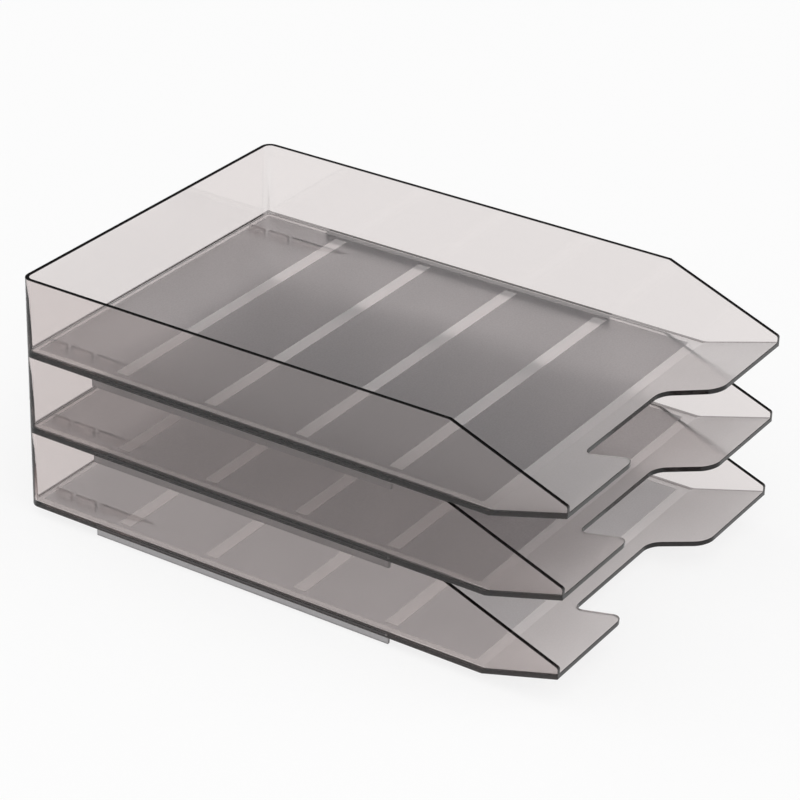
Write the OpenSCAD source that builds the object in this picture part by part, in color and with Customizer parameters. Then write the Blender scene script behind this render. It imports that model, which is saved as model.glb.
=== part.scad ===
// Tiered letter tray: three equal one-piece trays that stand on each other.
// X runs across the trays, Y from the front lip to the back wall, Z up.
// The origin lies under the middle of the lowest tray, on the surface it stands on.

/* [Tray] */
// Outside width of a tray
tray_w = 255; // [236:1:330]
// Outside depth of a tray, from the front lip to the back wall
tray_d = 380; // [352:1:440]
// Height of the rim over the underside of the floor, which is the step from tray to tray
rim_h = 52; // [44:1:90]
// Thickness of the side walls and the back wall
wall_t = 2.6; // [1.8:0.1:3.2]
// Thickness of the floor and the ramp
floor_t = 3.1; // [2:0.1:3.8]
// Outside radius of the two back corners
back_r = 7; // [4:0.5:12]
// Radius of the cove between the floor and the walls
cove_r = 1.5; // [0.8:0.1:3]

/* [Front] */
// Distance from the front lip to the line where the floor bends up into the ramp
ramp_run = 49.5; // [44:0.5:62]
// Height of the lip's underside over the underside of the floor
ramp_rise = 14.5; // [8:0.5:16]
// Distance from the front lip to the point where the rim starts to fall
slant_run = 77; // [66:1:110]
// Height of a side wall at the front lip
nose_h = 22; // [21:0.5:32]
// Radius of a side wall's front corner
nose_r = 2; // [1:0.5:5]

/* [Cut-out] */
// Depth of the cut-out behind the front lip
cut_depth = 36.5; // [26:0.5:42]
// Width of the cut-out along its inner edge
cut_inner_w = 92; // [70:1:110]
// Width of the cut-out at the front lip, without its flares
cut_mouth_w = 102; // [92:1:130]
// Radius of the cut-out's two inner corners
cut_corner_r = 8; // [3:0.5:12]
// Radius of the flares that lead into the front lip
cut_flare_r = 10; // [3:0.5:14]

/* [Underside] */
// Depth of the rails and ribs under the floor
rail_h = 6.5; // [3:0.5:9]
// Thickness of the rails and ribs
rail_t = 2.2; // [1.6:0.1:3]
// Clearance from a rail or a rib to the inside of the walls below it
rail_clear = 0.7; // [0.4:0.1:1.5]
// Distance from the front lip to the front end of the rails
rail_front = 115; // [95:1:150]
// Length of the rails
rail_len = 214; // [150:1:225]
// Distance from a rib's middle to the inside of the side wall
rib_inset = 22; // [12:1:60]
// How far back a tray stands with the rim below it in its first notch
setback_1 = 16; // [10:1:20]
// How far back a tray stands with the rim below it in its second notch
setback_2 = 35; // [28:1:45]
// Clearance on each side of the rim in a notch
notch_clear = 0.3; // [0.2:0.05:0.6]
// Length of the ribs' tapering front end
rib_taper = 42; // [25:1:60]

/* [Hidden] */
$fn = 64;
arc_steps = 12;
// How far a cut runs past the faces it opens
over = 5;
smoke = [0.46, 0.44, 0.44, 0.6];

inner_w = tray_w - 2 * wall_t;
inner_back = tray_d - wall_t;
ramp_angle = atan2(ramp_rise, ramp_run);
slant_angle = atan2(rim_h - nose_h, slant_run);
cut_angle = atan2((cut_mouth_w - cut_inner_w) / 2, cut_depth);
rail_x = inner_w / 2 - rail_clear - rail_t / 2;
rib_x = inner_w / 2 - rib_inset;
rib_back = inner_back - rail_clear;
notch_w = wall_t + 2 * notch_clear;
rim_mid = tray_d - wall_t / 2;

// Points on a round stretch about c, from angle a0 to angle a1
function arc(c, r, a0, a1) =
    [for (i = [0:arc_steps]) let (a = a0 + (a1 - a0) * i / arc_steps) c + r * [cos(a), sin(a)]];

function mirrored(points) =
    [for (i = [len(points) - 1:-1:0]) [-points[i].x, points[i].y]];

// Stands an outline of depth and height upright and runs it the given width across the tray
module across(width) {
    translate([-width / 2, 0, 0])
        rotate([90, 0, 90])
            linear_extrude(width)
                children();
}

// Tray outline from above, with rounded back corners
module plan(width, back, corner_r) {
    translate([-width / 2, -over])
        square([width, back - corner_r + over]);
    translate([-width / 2 + corner_r, 0])
        square([width - 2 * corner_r, back]);
    for (side = [-1, 1])
        translate([side * (width / 2 - corner_r), back - corner_r])
            circle(corner_r);
}

// Outside of a side wall seen from the side: level floor, ramp, nose, falling rim and level rim
module side_outline() {
    // The nose's rounding touches the upright front edge and the falling rim
    nose_len = nose_r * tan((90 - slant_angle) / 2);
    nose_mid = [nose_r, nose_h - nose_len];
    polygon(concat(
        [[0, ramp_rise], [ramp_run, 0], [tray_d, 0], [tray_d, rim_h], [slant_run, rim_h]],
        arc(nose_mid, nose_r, 90 + slant_angle, 180)
    ));
}

// Inside of the tray seen from the front: flat bottom with a cove along each side wall
module hollow_outline() {
    translate([-inner_w / 2, floor_t + cove_r])
        square([inner_w, rim_h]);
    translate([-inner_w / 2 + cove_r, floor_t])
        square([inner_w - 2 * cove_r, rim_h]);
    for (side = [-1, 1])
        translate([side * (inner_w / 2 - cove_r), floor_t + cove_r])
            circle(cove_r);
}

// Inside of the tray seen from the side, with a cove along the back wall
module back_outline() {
    translate([-over, floor_t + cove_r])
        square([inner_back + over, rim_h]);
    translate([-over, floor_t])
        square([inner_back - cove_r + over, rim_h]);
    translate([inner_back - cove_r, floor_t + cove_r])
        circle(cove_r);
}

// All that lies over the ramp, whose plane carries on under the floor
module over_ramp() {
    translate([0, ramp_run, 0])
        rotate([-ramp_angle, 0, 0])
            translate([-tray_w / 2, -tray_d, floor_t])
                cube([tray_w, 2 * tray_d, tray_d]);
}

// Inside of the tray, open at the front: all that lies over both the coved floor and the ramp
module hollow() {
    intersection() {
        translate([0, inner_back, 0])
            rotate([90, 0, 0])
                linear_extrude(inner_back + over)
                    hollow_outline();
        across(inner_w)
            back_outline();
        linear_extrude(2 * rim_h)
            plan(inner_w, inner_back, back_r - wall_t);
        over_ramp();
    }
}

// Finger cut-out in the lip: round inner corners, leaning sides and flares into the front edge
module cut_out() {
    corner_share = tan((90 + cut_angle) / 2);
    corner = [cut_inner_w / 2 - cut_corner_r / corner_share, cut_depth - cut_corner_r];
    flare = [cut_mouth_w / 2 + cut_flare_r / corner_share, cut_flare_r];
    right = concat(
        arc(corner, cut_corner_r, 90, cut_angle),
        arc(flare, cut_flare_r, 180 + cut_angle, 270),
        [[flare.x, -over]]
    );
    translate([0, 0, -over])
        linear_extrude(nose_h + 2 * over)
            polygon(concat(right, mirrored(right)));
}

// Straight rails under the floor, which drop between the side walls of the tray below
module rails() {
    for (side = [-1, 1])
        translate([side * rail_x - rail_t / 2, rail_front, -rail_h])
            cube([rail_t, rail_len, rail_h]);
}

// One rib under the back of the floor: two blocks and a tapering tail with a notch before each
module rib() {
    notch_1 = rim_mid - setback_1;
    notch_2 = rim_mid - setback_2;
    tail = notch_2 - notch_w / 2;
    across(rail_t) {
        polygon([[notch_1 + notch_w / 2, -rail_h], [rib_back, -rail_h],
                 [rib_back, 0], [notch_1 + notch_w / 2, 0]]);
        polygon([[notch_2 + notch_w / 2, -rail_h], [notch_1 - notch_w / 2, -rail_h],
                 [notch_1 - notch_w / 2, 0], [notch_2 + notch_w / 2, 0]]);
        polygon([[tail - rib_taper, 0], [tail, -rail_h], [tail, 0]]);
    }
}

// One whole tray, drawn with its front lip at y 0 and the underside of its floor at z 0
module tray() {
    difference() {
        intersection() {
            linear_extrude(rim_h)
                plan(tray_w, tray_d, back_r);
            across(tray_w)
                side_outline();
        }
        hollow();
        cut_out();
    }
    rails();
    for (side = [-1, 1])
        translate([side * rib_x, 0, 0])
            rib();
}

// Puts a tray on its level in the stack: each floor lies on the rim below it
module on_level(level) {
    translate([0, -tray_d / 2, rail_h + level * rim_h])
        children();
}

module tray_bottom() {
    color(smoke)
        on_level(0)
            tray();
}

module tray_middle() {
    color(smoke)
        on_level(1)
            tray();
}

module tray_top() {
    color(smoke)
        on_level(2)
            tray();
}

tray_bottom();
tray_middle();
tray_top();
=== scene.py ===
# Tiered letter tray: three equal one-piece trays of smoke-grey see-through plastic, which stand
# on each other.
import math

import bmesh
import bpy
from mathutils import Matrix, Vector


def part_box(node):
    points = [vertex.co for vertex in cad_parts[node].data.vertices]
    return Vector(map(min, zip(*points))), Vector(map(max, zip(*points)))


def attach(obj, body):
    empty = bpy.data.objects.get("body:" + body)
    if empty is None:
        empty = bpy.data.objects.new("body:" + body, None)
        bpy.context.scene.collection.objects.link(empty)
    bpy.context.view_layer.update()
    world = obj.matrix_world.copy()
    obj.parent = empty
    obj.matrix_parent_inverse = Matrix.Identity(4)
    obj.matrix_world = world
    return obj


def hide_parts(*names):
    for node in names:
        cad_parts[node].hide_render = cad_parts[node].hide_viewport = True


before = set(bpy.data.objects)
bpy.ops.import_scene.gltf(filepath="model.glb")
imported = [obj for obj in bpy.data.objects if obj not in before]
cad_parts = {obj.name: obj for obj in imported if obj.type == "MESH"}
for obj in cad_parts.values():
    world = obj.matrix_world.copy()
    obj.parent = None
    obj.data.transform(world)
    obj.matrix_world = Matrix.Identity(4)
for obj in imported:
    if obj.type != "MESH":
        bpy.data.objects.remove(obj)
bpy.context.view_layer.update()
scene = bpy.context.scene
scene.view_settings.view_transform = "Standard"

# ---------------------------------------------------------------------------------------------
# The camera looks down on the stack over its left front corner, from about one and three
# quarter metres away through a long lens. It leans a little, as a camera held by hand does.
VIEW_TURN = math.radians(57.68)
VIEW_TILT = math.radians(28.07)
VIEW_ROLL = math.radians(1.65)
VIEW_FROM = (-1.3477, -0.8526, 0.9342)
VIEW_LENS = 133.122
VIEW_SENSOR = 36.0
ahead = Vector((
    math.sin(VIEW_TURN) * math.cos(VIEW_TILT),
    math.cos(VIEW_TURN) * math.cos(VIEW_TILT),
    -math.sin(VIEW_TILT),
))
level = Vector((math.cos(VIEW_TURN), -math.sin(VIEW_TURN), 0.0))
upright = level.cross(ahead)
rightward = math.cos(VIEW_ROLL) * level + math.sin(VIEW_ROLL) * upright
upward = math.cos(VIEW_ROLL) * upright - math.sin(VIEW_ROLL) * level
camera_data = bpy.data.cameras.new("camera")
camera_data.sensor_width = VIEW_SENSOR
camera_data.lens = VIEW_LENS
camera = bpy.data.objects.new("camera", camera_data)
turned = Matrix((rightward, upward, -ahead)).transposed().to_4x4()
camera.matrix_world = Matrix.Translation(VIEW_FROM) @ turned
scene.collection.objects.link(camera)
scene.camera = camera

# ---------------------------------------------------------------------------------------------
# The ground is one wide sheet of matt white studio paper, a hair under the stack, so that
# the lowest tray stands on it. A lit layer makes it read as white, and keeps a soft shadow.
GROUND_HALF = 30.0
GROUND_DROP = 0.0004
PAPER_WHITE = 0.95
PAPER_GLOW_SHARE = 0.8


def new_object(name, mesh):
    made = bpy.data.objects.new(name, mesh)
    scene.collection.objects.link(made)
    return made


def new_material(name):
    made = bpy.data.materials.new(name)
    made.use_nodes = True
    made.node_tree.nodes.clear()
    return made, made.node_tree.nodes, made.node_tree.links


def math_node(nodes, links, operation, first, second=None, third=None):
    """One Math node whose inputs are sockets or numbers, and its output."""
    made = nodes.new("ShaderNodeMath")
    made.operation = operation
    for slot_in, given in zip(made.inputs, (first, second, third)):
        if isinstance(given, (int, float)):
            slot_in.default_value = given
        elif given is not None:
            links.new(given, slot_in)
    return made.outputs[0]


def looking_rays(nodes, links):
    """One for a ray that looks, straight or by a mirror or through plastic, and zero for light."""
    ray = nodes.new("ShaderNodeLightPath").outputs
    seen = math_node(nodes, links, "MAXIMUM", ray["Is Camera Ray"], ray["Is Glossy Ray"])
    return math_node(nodes, links, "MAXIMUM", seen, ray["Is Transmission Ray"])


ground_mesh = bpy.data.meshes.new("ground")
corners = ((-1, -1), (1, -1), (1, 1), (-1, 1))
ground_mesh.from_pydata(
    [(x * GROUND_HALF, y * GROUND_HALF, -GROUND_DROP) for x, y in corners], [], [(0, 1, 2, 3)]
)
ground = new_object("ground", ground_mesh)
paper, nodes, links = new_material("studio_paper")
paper_out = nodes.new("ShaderNodeOutputMaterial")
paper_face = nodes.new("ShaderNodeBsdfDiffuse")
paper_face.inputs["Color"].default_value = (PAPER_WHITE, PAPER_WHITE, PAPER_WHITE, 1.0)
paper_glow = nodes.new("ShaderNodeEmission")
paper_mix = nodes.new("ShaderNodeMixShader")
glow_share = math_node(nodes, links, "MULTIPLY", looking_rays(nodes, links), PAPER_GLOW_SHARE)
links.new(glow_share, paper_mix.inputs[0])
links.new(paper_face.outputs[0], paper_mix.inputs[1])
links.new(paper_glow.outputs[0], paper_mix.inputs[2])
links.new(paper_mix.outputs[0], paper_out.inputs["Surface"])
ground_mesh.materials.append(paper)

# ---------------------------------------------------------------------------------------------
# The light is an even white studio room, with one large soft lamp over the left front corner.
# A dark cloth hangs behind the stack, where the level and the falling rims mirror it: it draws
# the edges of see-through plastic as dark lines.
ROOM_LEVEL = 1.3
CLOTH_LEVEL = 0.12
CLOTH_WAY = (0.768, 0.257, 0.585)
CLOTH_INNER = math.cos(math.radians(26))
CLOTH_OUTER = math.cos(math.radians(44))
LAMP_SIZE = 2.4
LAMP_WATTS = 14.0
LAMP_PLACE = Vector((-1.6, -1.4, 2.4))

room = bpy.data.worlds.new("studio_room")
room.use_nodes = True
scene.world = room
nodes, links = room.node_tree.nodes, room.node_tree.links
nodes.clear()
room_out = nodes.new("ShaderNodeOutputWorld")
room_light = nodes.new("ShaderNodeBackground")
direction = nodes.new("ShaderNodeTexCoord")
towards_cloth = nodes.new("ShaderNodeVectorMath")
towards_cloth.operation = "DOT_PRODUCT"
towards_cloth.inputs[1].default_value = CLOTH_WAY
links.new(direction.outputs["Generated"], towards_cloth.inputs[0])
cloth = nodes.new("ShaderNodeMapRange")
cloth.interpolation_type = "SMOOTHSTEP"
for name, value in (
    ("From Min", CLOTH_OUTER), ("From Max", CLOTH_INNER),
    ("To Min", ROOM_LEVEL), ("To Max", CLOTH_LEVEL),
):
    cloth.inputs[name].default_value = value
links.new(towards_cloth.outputs["Value"], cloth.inputs["Value"])
links.new(cloth.outputs["Result"], room_light.inputs["Strength"])
links.new(room_light.outputs[0], room_out.inputs["Surface"])

lamp_data = bpy.data.lights.new("soft_lamp", "AREA")
lamp_data.shape = "SQUARE"
lamp_data.size = LAMP_SIZE
lamp_data.energy = LAMP_WATTS
lamp = bpy.data.objects.new("soft_lamp", lamp_data)
lamp.location = LAMP_PLACE
lamp.rotation_euler = (-LAMP_PLACE).to_track_quat("-Z", "Y").to_euler()
scene.collection.objects.link(lamp)

# ---------------------------------------------------------------------------------------------
# The plastic is clear polystyrene dyed smoke grey, which darkens along the light's way through it.
# The mould gives it polished walls, a floor with a little haze and grained panels in that floor.
# Its narrow edges, and the floor's edge at the foot of the walls, are tinted near black and dark
# grey: painted shade for the darkness of light led a long way along the plastic.
DYE = (0.56, 0.47, 0.455, 1.0)
DYE_DEPTH = 135.0
PLASTIC_IOR = 1.48
WAVE_SIZE = 28.0
SCRATCH_SIZE = 900.0
GRAIN_SIZE = 950.0
POLISHED = {
    "tint": (1.0, 0.985, 0.98), "even": 0.985,
    "rough_low": 0.015, "rough_high": 0.05, "clarity": 1.0,
}
FINISHES = {
    # Painted shade: the rim, nose, lip and cut-out faces, and the walls' foot over the rails, are
    # tinted near black
    "edge": {
        "tint": (0.03, 0.027, 0.027), "even": 0.9,
        "rough_low": 0.08, "rough_high": 0.14, "clarity": 1.0,
    },
    # Painted shade: the floor's and ramp's edge seen in the walls' outer foot is tinted dark grey
    "foot_painted_shade": {
        "tint": (0.20, 0.19, 0.19), "even": 0.95,
        "rough_low": 0.03, "rough_high": 0.08, "clarity": 1.0,
    },
    "haze": {
        "tint": (0.92, 0.893, 0.893), "even": 0.95,
        "rough_low": 0.1, "rough_high": 0.18, "clarity": 0.64,
    },
    "grain": {
        "tint": (0.58, 0.573, 0.585), "even": 0.85,
        "rough_low": 0.285, "rough_high": 0.34, "clarity": 0.74,
    },
}
# Where a noise starts and ends to count, and how it becomes waves, hair scratches and grain
FINE, FINER, FINEST = 2.0, 3.0, 4.0
WEAR_FROM, WEAR_TO = 0.35, 0.65
SPECK_FROM, SPECK_TO = 0.3, 0.7
SCRATCH_STRETCH = (1.0, 0.02, 1.0)
WAVE_STRENGTH, WAVE_HEIGHT = 0.15, 0.0006
SCRATCH_STRENGTH, SCRATCH_HEIGHT = 0.04, 0.00002
GRAIN_STRENGTH, GRAIN_HEIGHT = 0.15, 0.00008


def smoke_plastic():
    """One dyed plastic, which takes its finish from the marks on a moulding's faces."""
    made, nodes, links = new_material("smoke_plastic")
    out = nodes.new("ShaderNodeOutputMaterial")
    face = nodes.new("ShaderNodeBsdfPrincipled")
    face.inputs["IOR"].default_value = PLASTIC_IOR
    place = nodes.new("ShaderNodeTexCoord").outputs["Object"]
    marks = {}
    for name in FINISHES:
        mark = nodes.new("ShaderNodeAttribute")
        mark.attribute_name = name
        marks[name] = mark.outputs["Fac"]

    def noise(size, detail, where):
        node = nodes.new("ShaderNodeTexNoise")
        node.inputs["Scale"].default_value = size
        node.inputs["Detail"].default_value = detail
        links.new(where, node.inputs["Vector"])
        return node.outputs["Fac"]

    def by_finish(key):
        """The polished value, changed to another finish's own where a face bears its mark."""
        value = POLISHED[key]
        for name, finish in FINISHES.items():
            if isinstance(finish[key], tuple):
                mixed = nodes.new("ShaderNodeMix")
                mixed.data_type = "RGBA"
                if isinstance(value, tuple):
                    mixed.inputs["A"].default_value = (*value, 1.0)
                else:
                    links.new(value, mixed.inputs["A"])
                mixed.inputs["B"].default_value = (*finish[key], 1.0)
                links.new(marks[name], mixed.inputs["Factor"])
                value = mixed.outputs["Result"]
            else:
                change = finish[key] - POLISHED[key]
                value = math_node(nodes, links, "MULTIPLY_ADD", marks[name], change, value)
        return value

    rough = nodes.new("ShaderNodeMapRange")
    links.new(noise(WAVE_SIZE, FINER, place), rough.inputs["Value"])
    rough.inputs["From Min"].default_value = WEAR_FROM
    rough.inputs["From Max"].default_value = WEAR_TO
    links.new(by_finish("rough_low"), rough.inputs["To Min"])
    links.new(by_finish("rough_high"), rough.inputs["To Max"])
    links.new(rough.outputs["Result"], face.inputs["Roughness"])
    links.new(by_finish("clarity"), face.inputs["Transmission Weight"])

    speck = nodes.new("ShaderNodeMapRange")
    links.new(noise(GRAIN_SIZE, FINE, place), speck.inputs["Value"])
    speck.inputs["From Min"].default_value = SPECK_FROM
    speck.inputs["From Max"].default_value = SPECK_TO
    links.new(by_finish("even"), speck.inputs["To Min"])
    shade = nodes.new("ShaderNodeVectorMath")
    shade.operation = "SCALE"
    links.new(by_finish("tint"), shade.inputs[0])
    links.new(speck.outputs["Result"], shade.inputs["Scale"])
    links.new(shade.outputs["Vector"], face.inputs["Base Color"])

    # Faint waves, hair scratches along the way the paper slides, and the eroded mould's grain
    stretched = nodes.new("ShaderNodeMapping")
    stretched.inputs["Scale"].default_value = SCRATCH_STRETCH
    links.new(place, stretched.inputs["Vector"])
    grained = math_node(nodes, links, "MULTIPLY", marks["grain"], GRAIN_STRENGTH)
    scratches = noise(SCRATCH_SIZE, FINE, stretched.outputs["Vector"])
    normal = None
    for height, strength, distance in (
        (noise(WAVE_SIZE, FINE, place), WAVE_STRENGTH, WAVE_HEIGHT),
        (scratches, SCRATCH_STRENGTH, SCRATCH_HEIGHT),
        (noise(GRAIN_SIZE, FINEST, place), grained, GRAIN_HEIGHT),
    ):
        bump = nodes.new("ShaderNodeBump")
        links.new(height, bump.inputs["Height"])
        bump.inputs["Distance"].default_value = distance
        if isinstance(strength, float):
            bump.inputs["Strength"].default_value = strength
        else:
            links.new(strength, bump.inputs["Strength"])
        if normal:
            links.new(normal, bump.inputs["Normal"])
        normal = bump.outputs["Normal"]
    links.new(normal, face.inputs["Normal"])

    body = nodes.new("ShaderNodeVolumeAbsorption")
    body.inputs["Color"].default_value = DYE
    body.inputs["Density"].default_value = DYE_DEPTH
    links.new(face.outputs["BSDF"], out.inputs["Surface"])
    links.new(body.outputs["Volume"], out.inputs["Volume"])
    return made


plastic = smoke_plastic()

# ---------------------------------------------------------------------------------------------
# The trays are three injection mouldings of one shape, each lying with its floor on the rim of
# the one below. Their edges are rounded as a mould leaves them. Each floor has a grained field
# with four polished bars left across it, a hair higher than the grain.
EDGE_ROUND = 0.00035
EDGE_STEPS = 2
SHARP = math.radians(30)
CONTACT_GAP = 0.0001
# Clean-up of the solid's triangles
FLAT = math.radians(0.2)
MERGE = 1e-6
# The tray's own sizes, as in the solids
SIDE_X = 0.1275
BACK_Y = 0.190
LIP_Y = -0.190
RIM_OVER_FLOOR = 0.052
FLOOR_THICK = 0.0031
RAMP_RUN = 0.0495
RAMP_RISE = 0.0145
RAIL_INSIDE = 0.12
RAIL_FRONT = -0.075
RAIL_BACK = 0.139
RAIL_SHEEN = 0.001
# What tells the faces apart: the way they look, and how near they lie to rim, lip and corner
UPWARDS = Vector((0.0, 0.0, 1.0))
BACKWARDS = Vector((0.0, 1.0, 0.0))
LEVEL_LEAST = 0.9
UPRIGHT_MOST = 0.05
FALLING_LEAST = 0.2
HAIR = 1e-4
RIM_TOUCH = 1e-5
RIM_BAND = 0.001
FRONT_BAND = 0.08
CUT_REACH = 0.08
CUT_BAND = 0.04
CORNER_BAND = 0.007
# The grained field and its bars
FIELD_START = 0.057
FIELD_LENGTH = 0.316
FIELD_WIDTH = 0.239
BAR_LENGTH = 0.009
BAR_PITCH = 0.065
BAR_WIDTH = 0.232
BAR_COUNT = 4
GRAIN_DEPTH = 0.00012
CUTTER_HIGH = 0.002


def floor_field_tree():
    """Sinks the grained field into a floor, and leaves the polished bars standing in it."""
    tree = bpy.data.node_groups.new("floor_field", "GeometryNodeTree")
    face = tree.interface
    face.new_socket("Geometry", in_out="INPUT", socket_type="NodeSocketGeometry")
    for name, value in (
        ("Floor Height", 0.0), ("Field Front", LIP_Y + FIELD_START), ("Field Length", FIELD_LENGTH),
        ("Field Width", FIELD_WIDTH), ("Bar Length", BAR_LENGTH), ("Bar Pitch", BAR_PITCH),
        ("Bar Width", BAR_WIDTH), ("Depth", GRAIN_DEPTH),
    ):
        size = face.new_socket(name, in_out="INPUT", socket_type="NodeSocketFloat")
        size.default_value = value
    count = face.new_socket("Bars", in_out="INPUT", socket_type="NodeSocketInt")
    count.default_value = BAR_COUNT
    face.new_socket("Plastic", in_out="INPUT", socket_type="NodeSocketMaterial")
    face.new_socket("Geometry", in_out="OUTPUT", socket_type="NodeSocketGeometry")
    nodes, links = tree.nodes, tree.links
    given = nodes.new("NodeGroupInput").outputs
    made = nodes.new("NodeGroupOutput")

    def vector(x, y, z):
        node = nodes.new("ShaderNodeCombineXYZ")
        for slot_in, value in zip(node.inputs, (x, y, z)):
            if isinstance(value, (int, float)):
                slot_in.default_value = value
            else:
                links.new(value, slot_in)
        return node.outputs[0]

    def block(size):
        node = nodes.new("GeometryNodeMeshCube")
        links.new(size, node.inputs["Size"])
        return node.outputs["Mesh"]

    def moved(geometry, place):
        node = nodes.new("GeometryNodeTransform")
        links.new(geometry, node.inputs["Geometry"])
        links.new(place, node.inputs["Translation"])
        return node.outputs["Geometry"]

    def without(geometry, cutter):
        node = nodes.new("GeometryNodeMeshBoolean")
        node.operation = "DIFFERENCE"
        node.solver = "EXACT"
        links.new(geometry, node.inputs["Mesh 1"])
        links.new(cutter, node.inputs["Mesh 2"])
        return node.outputs["Mesh"]

    half_length = math_node(nodes, links, "MULTIPLY", given["Field Length"], 0.5)
    middle = math_node(nodes, links, "ADD", given["Field Front"], half_length)
    base = math_node(nodes, links, "SUBTRACT", given["Floor Height"], given["Depth"])
    height = math_node(nodes, links, "ADD", base, CUTTER_HIGH / 2)
    field_size = vector(given["Field Width"], given["Field Length"], CUTTER_HIGH)
    field = moved(block(field_size), vector(0.0, middle, height))
    gaps = math_node(nodes, links, "SUBTRACT", given["Bars"], 1.0)
    run = math_node(nodes, links, "MULTIPLY", gaps, given["Bar Pitch"])
    half_run = math_node(nodes, links, "MULTIPLY", run, 0.5)
    first = math_node(nodes, links, "SUBTRACT", middle, half_run)
    row = nodes.new("GeometryNodeMeshLine")
    row.mode = "OFFSET"
    links.new(given["Bars"], row.inputs["Count"])
    links.new(vector(0.0, first, height), row.inputs["Start Location"])
    links.new(vector(0.0, given["Bar Pitch"], 0.0), row.inputs["Offset"])
    bars = nodes.new("GeometryNodeInstanceOnPoints")
    links.new(row.outputs["Mesh"], bars.inputs["Points"])
    bar_size = vector(given["Bar Width"], given["Bar Length"], 2 * CUTTER_HIGH)
    links.new(block(bar_size), bars.inputs["Instance"])
    solid_bars = nodes.new("GeometryNodeRealizeInstances")
    links.new(bars.outputs["Instances"], solid_bars.inputs["Geometry"])
    cutter = nodes.new("GeometryNodeStoreNamedAttribute")
    cutter.domain = "FACE"
    cutter.inputs["Name"].default_value = "grain"
    cutter.inputs["Value"].default_value = 1.0
    links.new(without(field, solid_bars.outputs["Geometry"]), cutter.inputs["Geometry"])
    whole = nodes.new("GeometryNodeRealizeInstances")
    links.new(without(given["Geometry"], cutter.outputs["Geometry"]), whole.inputs["Geometry"])
    dressed = nodes.new("GeometryNodeSetMaterial")
    links.new(whole.outputs["Geometry"], dressed.inputs["Geometry"])
    links.new(given["Plastic"], dressed.inputs["Material"])
    links.new(dressed.outputs["Geometry"], made.inputs["Geometry"])
    return tree


def is_edge_face(face, floor_z):
    """True for the narrow faces that look along a wall or the floor: rim, nose, lip and cut-out."""
    place, normal = face.calc_center_median(), face.normal
    if normal.z > LEVEL_LEAST and place.z > floor_z + RIM_OVER_FLOOR - RIM_BAND:
        return True
    falling = normal.y < -FALLING_LEAST and normal.z > -UPRIGHT_MOST
    if falling and place.z > floor_z and place.y < LIP_Y + FRONT_BAND:
        return True
    in_cut_out = abs(place.x) < CUT_REACH and place.y < LIP_Y + CUT_BAND
    return abs(normal.z) < UPRIGHT_MOST and in_cut_out


def is_outside_face(face):
    """True for the upright outer faces of the side walls, the back wall and their corners."""
    place, normal = face.calc_center_median(), face.normal
    outwards = normal.x * place.x + max(normal.y, 0.0) * max(place.y, 0.0) > 0.0
    outermost = abs(place.x) > SIDE_X - CORNER_BAND or place.y > BACK_Y - CORNER_BAND
    return abs(normal.z) < UPRIGHT_MOST and outwards and outermost


def foot_planes(floor_z):
    """The floor's upper side and the ramp's upper side, carried on through the outer faces."""
    floor = Vector((0.0, 0.0, floor_z + FLOOR_THICK))
    ramp_way = Vector((0.0, RAMP_RISE, RAMP_RUN)).normalized()
    ramp = Vector((0.0, LIP_Y, floor_z + RAMP_RISE)) + FLOOR_THICK * ramp_way
    return (floor, UPWARDS), (ramp, ramp_way)


def rail_planes(floor_z):
    """The ends of the rails, and the height up to which the walls' foot keeps its lighter painted
    sheen over them.
    """
    return (
        (Vector((0.0, 0.0, floor_z + RAIL_SHEEN)), UPWARDS),
        (Vector((0.0, RAIL_FRONT, 0.0)), BACKWARDS),
        (Vector((0.0, RAIL_BACK, 0.0)), BACKWARDS),
    )


def is_over_rail(face, floor_z):
    """True for the part of a side wall's foot that stands on a rail, over the rail's painted sheen.
    """
    place = face.calc_center_median()
    beside = RAIL_FRONT < place.y < RAIL_BACK and abs(place.x) > RAIL_INSIDE
    return beside and place.z > floor_z + RAIL_SHEEN


def is_foot_face(face, floor_z):
    """True for the outer faces at the height of the floor and the ramp."""
    place = face.calc_center_median()
    return is_outside_face(face) and place.z > floor_z and any(
        (place - point).dot(normal) < 0.0 for point, normal in foot_planes(floor_z)
    )


def is_rail_face(face, floor_z):
    """True for the rails under the floor, which slide inside the walls below and are matt."""
    place = face.calc_center_median()
    return place.z < floor_z - HAIR and abs(place.x) > RAIL_INSIDE


def cut_faces(bm, chosen, planes):
    """Cuts the chosen faces along each plane in turn, and no others."""
    for point, way in planes:
        faces = [face for face in bm.faces if chosen(face)]
        edges = list({edge for face in faces for edge in face.edges})
        bmesh.ops.bisect_plane(bm, geom=faces + edges, plane_co=point, plane_no=way)


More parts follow.
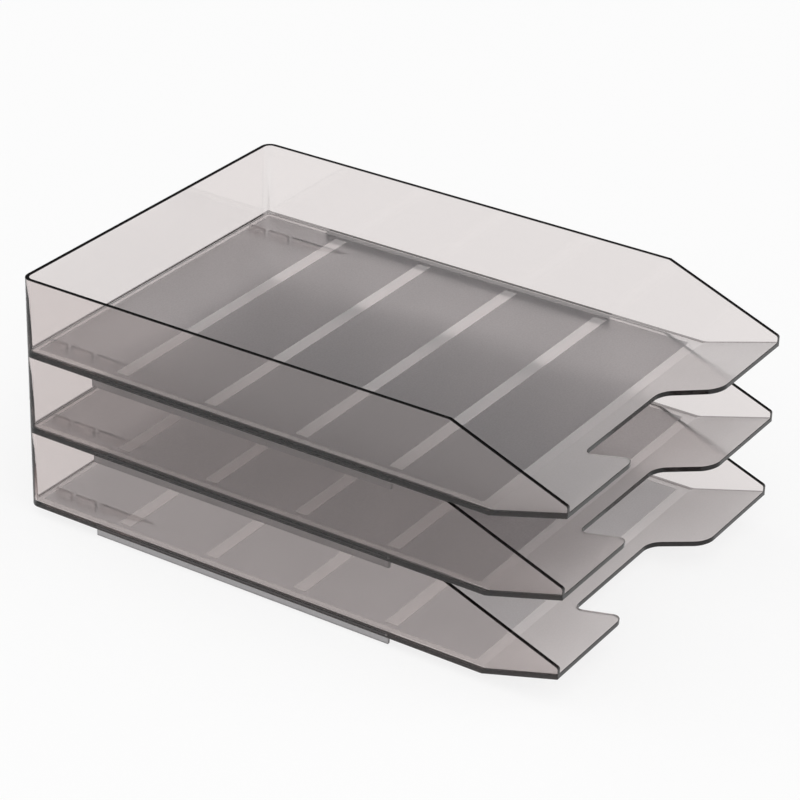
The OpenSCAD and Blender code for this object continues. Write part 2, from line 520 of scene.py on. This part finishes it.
def tray_moulding(name, node_name):
    """One tray: the solid's surface, merged, with rounded edges and the grained field."""
    bm = bmesh.new()
    bm.from_mesh(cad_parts[node_name].data)
    marks = {mark: bm.faces.layers.float.new(mark) for mark in FINISHES}
    bmesh.ops.remove_doubles(bm, verts=bm.verts, dist=MERGE)
    bmesh.ops.dissolve_limit(bm, angle_limit=FLAT, verts=bm.verts, edges=bm.edges)
    floor_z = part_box(node_name)[1].z - RIM_OVER_FLOOR
    cut_faces(bm, is_outside_face, foot_planes(floor_z))
    cut_faces(bm, lambda face: is_foot_face(face, floor_z), rail_planes(floor_z))
    for face in bm.faces:
        # Edge faces get the near-black painted shade; the walls' foot gets the dark grey painted
        # shade
        if is_edge_face(face, floor_z):
            face[marks["edge"]] = 1.0
        elif face.normal.z > LEVEL_LEAST:
            face[marks["haze"]] = 1.0
        # The rails take the grained finish: matt, and its darker tint is painted shade
        elif is_rail_face(face, floor_z):
            face[marks["grain"]] = 1.0
        elif is_foot_face(face, floor_z):
            # Over a rail the foot is painted near black as shade, and the strip under the sheen
            # height keeps the dark grey as a painted sheen
            face[marks["edge" if is_over_rail(face, floor_z) else "foot_painted_shade"]] = 1.0
    sharp = [edge for edge in bm.edges if edge.is_convex and edge.calc_face_angle() > SHARP]
    rounded = bmesh.ops.bevel(
        bm, geom=sharp, offset=EDGE_ROUND, segments=EDGE_STEPS, profile=0.5, affect="EDGES"
    )["faces"]
    # The rounding beside an edge face takes its painted shade mark, one strip with each pass
    for _ in range(EDGE_STEPS):
        beside = [
            face for face in rounded
            if any(near[marks["edge"]] for edge in face.edges for near in edge.link_faces)
        ]
        for face in beside:
            face[marks["edge"]] = 1.0
            face[marks["haze"]] = face[marks["grain"]] = 0.0
    # The rim ends a hair under the floor that stands on it, so that no two faces share a plane
    for vert in bm.verts:
        if vert.co.z > floor_z + RIM_OVER_FLOOR - RIM_TOUCH:
            vert.co.z -= CONTACT_GAP
    mesh = bpy.data.meshes.new(name + "_rough")
    bm.to_mesh(mesh)
    bm.free()
    mesh.materials.append(plastic)
    rough = new_object(name + "_rough", mesh)
    field = rough.modifiers.new("field", "NODES")
    field.node_group = field_tree
    sockets = {s.name: s.identifier for s in field_tree.interface.items_tree if s.in_out == "INPUT"}
    field[sockets["Floor Height"]] = floor_z + FLOOR_THICK
    field[sockets["Plastic"]] = plastic
    weighted = rough.modifiers.new("weighted", "WEIGHTED_NORMAL")
    weighted.keep_sharp = True
    evaluated = rough.evaluated_get(bpy.context.evaluated_depsgraph_get())
    finished = bpy.data.meshes.new_from_object(evaluated)
    finished.name = name
    bpy.data.objects.remove(rough)
    return new_object(name, finished)


field_tree = floor_field_tree()
for place in ("bottom", "middle", "top"):
    piece = tray_moulding(place + "_tray_moulding", "tray_" + place)
    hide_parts("tray_" + place)
    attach(piece, "tray_" + place)
